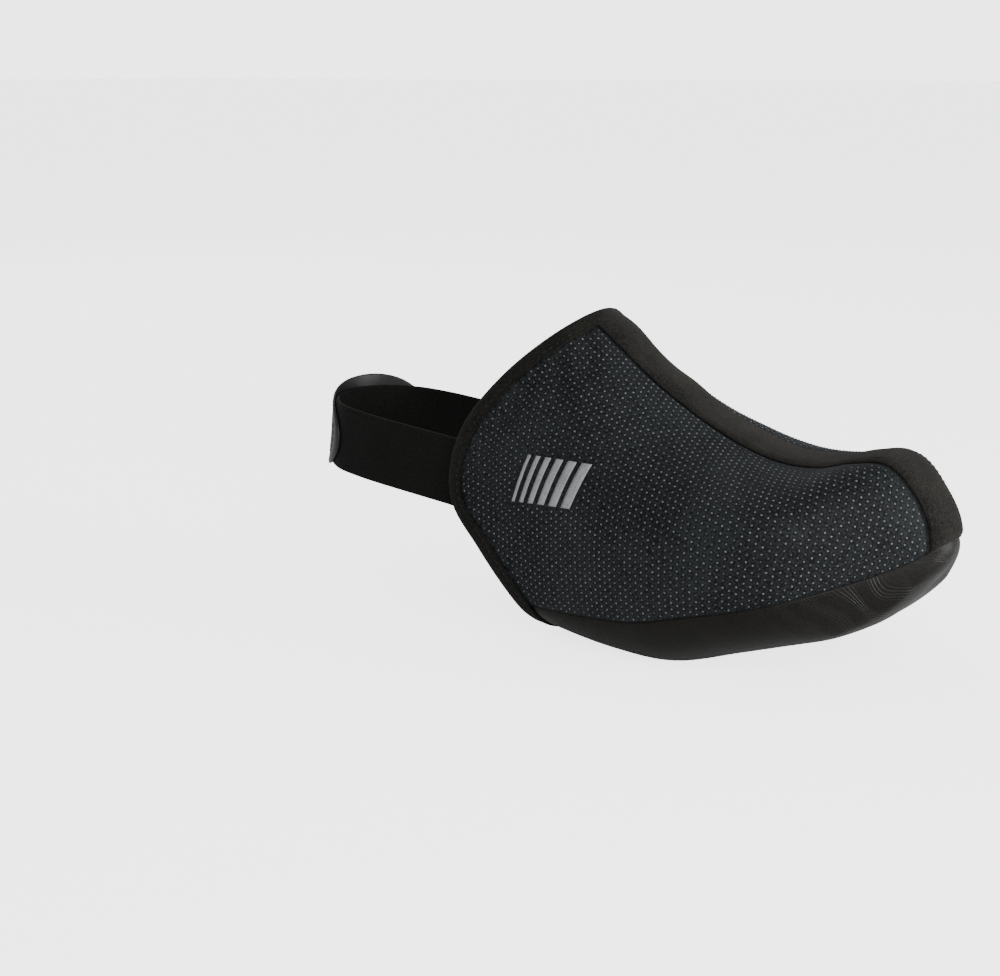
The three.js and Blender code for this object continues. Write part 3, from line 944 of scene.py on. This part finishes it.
# Across the tape: millimetres ahead of the collar's edge and out from the last
binding_profile = np.array((
    (1.2, 0.20), (6.0, 0.15), (6.2, 0.55), (6.0, 1.00), (5.5, 1.20), (5.0, 1.12), (4.6, 0.85), (4.2, 1.10),
    (3.4, 1.35), (2.2, 1.45), (1.0, 1.30), (0.25, 0.80), (-0.05, -0.3), (-0.1, -1.5), (-0.05, -2.7),
    (0.25, -3.7), (1.0, -4.15), (2.4, -4.30), (3.8, -4.20), (4.6, -3.95), (5.2, -4.15), (5.9, -4.10),
    (6.15, -3.75), (6.0, -3.30), (1.2, -3.20), (1.2, 0.20),
))


def binding_line(ahead, out):
    """Lines round the collar, at distances ahead of its edge and out from the last."""
    around = np.linspace(0, 2 * math.pi, binding_steps + 1)[None, :]
    shape = np.broadcast(ahead, around).shape
    station = collar_station(lambda _: around, ahead, shape)
    points = off_last(station, around, out + folded(on_last(station, around)))
    points[..., 2] = np.maximum(points[..., 2], 0.05)
    return points, outward(station, around)


def stitch_places(path, normals, pitch, length, thickness):
    """Where stitches of one length lie along a path, half sunk in the cloth."""
    steps = np.linalg.norm(np.diff(path, axis=0), axis=1)
    total = np.concatenate(((0,), np.cumsum(steps)))
    places = []
    for place in np.arange(pitch / 2, total[-1], pitch):
        ends = [np.array([np.interp(place + half, total, path[:, k]) for k in range(3)])
                for half in (-length / 2, length / 2)]
        run = Vector(ends[1] - ends[0]).normalized()
        normal = Vector([np.interp(place, total, normals[:, k]) for k in range(3)])
        side = normal.cross(run).normalized()
        turn = Matrix((run, side, run.cross(side))).transposed().to_4x4()
        size = Matrix.Diagonal((length / 2000, thickness / 2000, thickness / 2000, 1))
        places.append(Matrix.Translation(to_frame((ends[0] + ends[1]) / 2)) @ turn @ size)
    return places


def sewn(name, places):
    stitch = bmesh.new()
    bmesh.ops.create_uvsphere(stitch, u_segments=6, v_segments=4, radius=1)
    return repeated(name, stitch, places)


binding_points, _ = binding_line(*(binding_profile[:, k, None] for k in (0, 1)))
collar_binding = cloth_grid("collar_tape", binding_points)
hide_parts("collar_binding")
tape_knit = knit_finish("binding tape", (0.0024, 0.0024, 0.0018), (0.0088, 0.0088, 0.0070), 0.8, 0.6, 0.12)
dress(collar_binding, "knit", tape_knit)

# A row of stitches shows on both faces of the tape. Each has a pitch, a length and a thickness.
collar_stitch = (3.0, 2.3, 0.42)
stitch_ahead = 4.6
places = []
for out in (1.0, -4.1):
    path, normals = binding_line(np.array([[stitch_ahead]]), np.array([[out]]))
    places += stitch_places(path[0], normals[0], *collar_stitch)
collar_stitches = sewn("collar_stitches", places)


def thread_finish():
    material, tree, surface = finish_of("sewing thread", (0.012, 0.012, 0.012), 0.6, Specular_IOR_Level=0.2)
    shade(tree, surface, (0.007, 0.007, 0.007), (0.018, 0.018, 0.0175), 3.0, 0.5)
    return material


thread = thread_finish()
dress(collar_stitches, "thread", thread)


# Heel strap: black woven elastic with fine ribs along it, sewn inside both edges of the collar and led round
# the heel, where it leans in a little.
strap_width = 28.0
strap_thickness = 1.8
strap_heel_height = 69.0
strap_cover_height = 61.0
strap_tuck = 14.0
strap_inset = 4.9
strap_lean = 0.09
heel_radius = 33.0
strap_steps = 260
collar_back = float(along(collar, "back", strap_cover_height / instep_height)) * last_length


def side_of_last(x, z, side):
    """How far out the last reaches at a place and a height. The side is -1 outer, 1 inner."""
    s = section(body_share * (x - last_back) / (cap_start - last_back))
    half = s["lateral"] if side < 0 else s["medial"]
    return s["middle"] + side * half * (1 - ((z - s["waist"]) / s["above"]) ** s["top"]) ** (1 / s["top"])


def heel_loop():
    """The strap's outer face seen from above, as close points from the cover's outer edge to its inner."""
    tucked, edge = collar_back + strap_tuck, collar_back
    round_heel = [(heel_radius * (1 - math.cos(turn)), heel_radius * math.sin(turn))
                  for turn in np.radians((-90, -60, -30, 0, 30, 60, 90))]
    ends = [(x, float(side_of_last(x, strap_cover_height, side)) - side * strap_inset)
            for x, side in ((tucked, -1), (edge, -1), (edge, 1), (tucked, 1))]
    posts = np.array(ends[:2] + round_heel + ends[2:])
    posts = np.vstack((2 * posts[0] - posts[1], posts, 2 * posts[-1] - posts[-2]))
    share = np.linspace(0, 1, 41)[:-1, None]
    path = []
    for a, b, c, d in zip(posts, posts[1:], posts[2:], posts[3:]):
        ab, bc, cd = (math.sqrt(np.linalg.norm(q - p)) for p, q in ((a, b), (b, c), (c, d)))
        leave = ((b - a) / ab - (c - a) / (ab + bc) + (c - b) / bc) * bc
        reach = ((c - b) / bc - (d - b) / (bc + cd) + (d - c) / cd) * bc
        path.append(b + leave * share + (3 * (c - b) - 2 * leave - reach) * share ** 2
                    + (2 * (b - c) + leave + reach) * share ** 3)
    return np.vstack(path + [posts[-2:-1]])


loop = heel_loop()
loop_way = np.concatenate(((0,), np.cumsum(np.linalg.norm(np.diff(loop, axis=0), axis=1))))
loop_way -= loop_way[-1] / 2
loop_run = np.gradient(loop, loop_way, axis=0)


def on_loop(way, depth, up, tilt=0.0):
    """Points of a band round the heel: the way round from its middle, out from its face and up."""
    x, y, run_x, run_y = (np.interp(way, loop_way, column) for column in (*loop.T, *loop_run.T))
    size = np.hypot(run_x, run_y)
    depth = depth - strap_lean * up
    forward = np.clip(x / collar_back, 0, 1)
    middle = strap_heel_height + (strap_cover_height - strap_heel_height) * forward + tilt * way
    return np.stack((x - run_y / size * depth, y + run_x / size * depth, middle + up), -1)


# Across the webbing: its thickness is rounded off at both edges
strap_profile = np.array([(strap_thickness * (0.5 * math.sin(turn) - 0.5),
                           side * (strap_width / 2 + strap_thickness / 2 * (math.cos(turn) - 1)))
                          for side, turns in ((1, np.linspace(-math.pi / 2, math.pi / 2, 7)),
                                              (-1, np.linspace(math.pi / 2, -math.pi / 2, 7)))
                          for turn in turns])


def band_profile():
    """The outline across the webbing, with steps between its edges, closed on itself."""
    corners = np.vstack((strap_profile, strap_profile[:1]))
    steps = [np.linspace(a, b, 2 if np.linalg.norm(b - a) < 3 else 13)[:-1]
             for a, b in zip(corners, corners[1:])]
    return np.vstack(steps + [corners[-1:]])


def elastic_finish():
    material, tree, surface = finish_of("woven elastic", (0.006, 0.006, 0.0062), 0.75, Specular_IOR_Level=0.1,
                                        Sheen_Weight=0.01)
    ribs = node(tree, "Group", 1.0, 0.8, 0.35, node_tree=yarn)
    tone = toned(tree, (0.0016, 0.0017, 0.0013), (0.0060, 0.0061, 0.0050), 18.0, 0.5)
    # Painted shade: the colour is darkened in the low grooves between the ribs
    tree.links.new(node(tree, "Mix", node(tree, "MapRange", ribs, 0.0, 0.5, 0.6, 0.0), tone,
                        (0.0018, 0.0018, 0.0018, 1), data_type="RGBA"), surface["Base Color"])
    relief(tree, surface, ribs, 0.3)
    return material


profile = band_profile()
way = np.linspace(loop_way[0], loop_way[-1], strap_steps + 1)[None, :]
strap_points = on_loop(way, profile[:, 0, None], profile[:, 1, None])
heel_strap = cloth_grid("elastic_strap", strap_points)
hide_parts("heel_strap")
dress(heel_strap, "elastic", elastic_finish())


# Heel patch: an egg-shaped piece of smooth synthetic leather, narrower on the outer side, with a raised rim.
# It is sewn on the strap behind the heel by a row of stitches in a pressed groove.
patch_length = 75.0
patch_height = 42.0
patch_power = 2.35
patch_tilt = 0.04
patch_narrowing = 0.11
patch_turns = 144
# From the middle out over the rim and back underneath: share of the way to the edge, and out from the strap
patch_profile = np.array((
    (0.0, 1.38), (0.25, 1.38), (0.5, 1.36), (0.68, 1.34), (0.76, 1.32), (0.79, 1.18), (0.81, 1.05),
    (0.83, 1.18), (0.86, 1.42), (0.91, 1.52), (0.955, 1.45), (0.985, 1.22), (1.0, 0.90), (0.99, 0.50),
    (0.965, 0.32), (0.5, 0.30), (0.0, 0.30),
))


def on_patch(share, turn, depth):
    across, up = (np.sign(part) * np.abs(part) ** (2 / patch_power) for part in (np.cos(turn), np.sin(turn)))
    half_height = patch_height / 2 * (1 - patch_narrowing + patch_narrowing * across)
    return on_loop(share * across * patch_length / 2, depth, share * up * half_height, patch_tilt)


def leather_finish():
    material, tree, surface = finish_of("synthetic leather", (0.007, 0.007, 0.0075), 0.42,
                                        Specular_IOR_Level=0.3)
    shade(tree, surface, (0.0055, 0.0055, 0.006), (0.0095, 0.0095, 0.010), 20.0, 0.8)
    relief(tree, surface, node(tree, "TexVoronoi", own_place(tree), 1500.0), 0.05)
    return material


turn = np.linspace(0, 2 * math.pi, patch_turns + 1)[None, :]
heel_patch = cloth_grid("leather_patch", on_patch(patch_profile[:, 0, None], turn, patch_profile[:, 1, None]))
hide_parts("heel_patch")
dress(heel_patch, "leatherette", leather_finish())

patch_stitch = (3.2, 2.4, 0.5)
groove_share = 0.81
groove_floor = 1.12
path = on_patch(groove_share, turn[0], groove_floor)
places = stitch_places(path, on_patch(groove_share, turn[0], groove_floor + 1) - path, *patch_stitch)
patch_stitches = sewn("patch_stitches", places)
dress(patch_stitches, "thread", thread)


# Studio: a plain pale floor and soft light from large panels, with the camera at the photograph's angle.
floor_glow = 2.8
room_light = 0.48
room_seen = 3.6


def seen_by_camera(tree, elsewhere, in_view):
    """A strength of its own for what the camera sees, so that the studio is pale and its light stays soft."""
    return node(tree, "MapRange", node(tree, "LightPath"), 0.0, 1.0, elsewhere, in_view)


def stage_floor():
    bm = bmesh.new()
    bmesh.ops.create_grid(bm, x_segments=1, y_segments=1, size=40)
    floor = mesh_piece("floor", bm)
    material, tree, surface = finish_of("pale floor", (0.86, 0.86, 0.86), 0.8, Emission_Color=(1, 1, 1, 1))
    tree.links.new(seen_by_camera(tree, 0.0, floor_glow), surface["Emission Strength"])
    floor.data.materials.append(material)


def soft_light(name, azimuth, elevation, distance, size, power):
    """A square light panel that looks at the cover."""
    data = bpy.data.lights.new(name, "AREA")
    data.shape, data.size, data.energy = "SQUARE", size, power
    light = bpy.data.objects.new(name, data)
    back = toward(azimuth, elevation)
    light.location = focus + back * distance
    light.rotation_euler = (-back).to_track_quat("-Z", "Y").to_euler()
    bpy.context.scene.collection.objects.link(light)


def toward(azimuth, elevation):
    """The direction towards a viewer, from the cover's outer side turned towards its toe, and up."""
    turn, rise = math.radians(azimuth), math.radians(elevation)
    return Vector((math.sin(turn) * math.cos(rise), -math.cos(turn) * math.cos(rise), math.sin(rise)))


focus = Vector(to_frame((96.8, -20.0, 53.2)))
stage_floor()
soft_light("key", 48, 24, 1.5, 1.0, 21)
soft_light("side", 108, 4, 1.4, 0.7, 26)
soft_light("top", -20, 75, 1.7, 1.4, 3)
soft_light("back", -120, 35, 1.6, 1.0, 6)

world = bpy.data.worlds.new("studio")
bpy.context.scene.world = world
world.use_nodes = True
world.node_tree.nodes["Background"].inputs["Color"].default_value = (1, 1, 1, 1)
world.node_tree.links.new(seen_by_camera(world.node_tree, room_light, room_seen),
                          world.node_tree.nodes["Background"].inputs["Strength"])

view = toward(35.5, 13.0)
view_distance = 0.75
camera_data = bpy.data.cameras.new("camera")
camera_data.lens = 65.04
camera_data.sensor_width = 36.0
camera = bpy.data.objects.new("camera", camera_data)
camera.location = focus + view * view_distance
camera.rotation_euler = (-view).to_track_quat("-Z", "Y").to_euler()
bpy.context.scene.collection.objects.link(camera)
bpy.context.scene.camera = camera
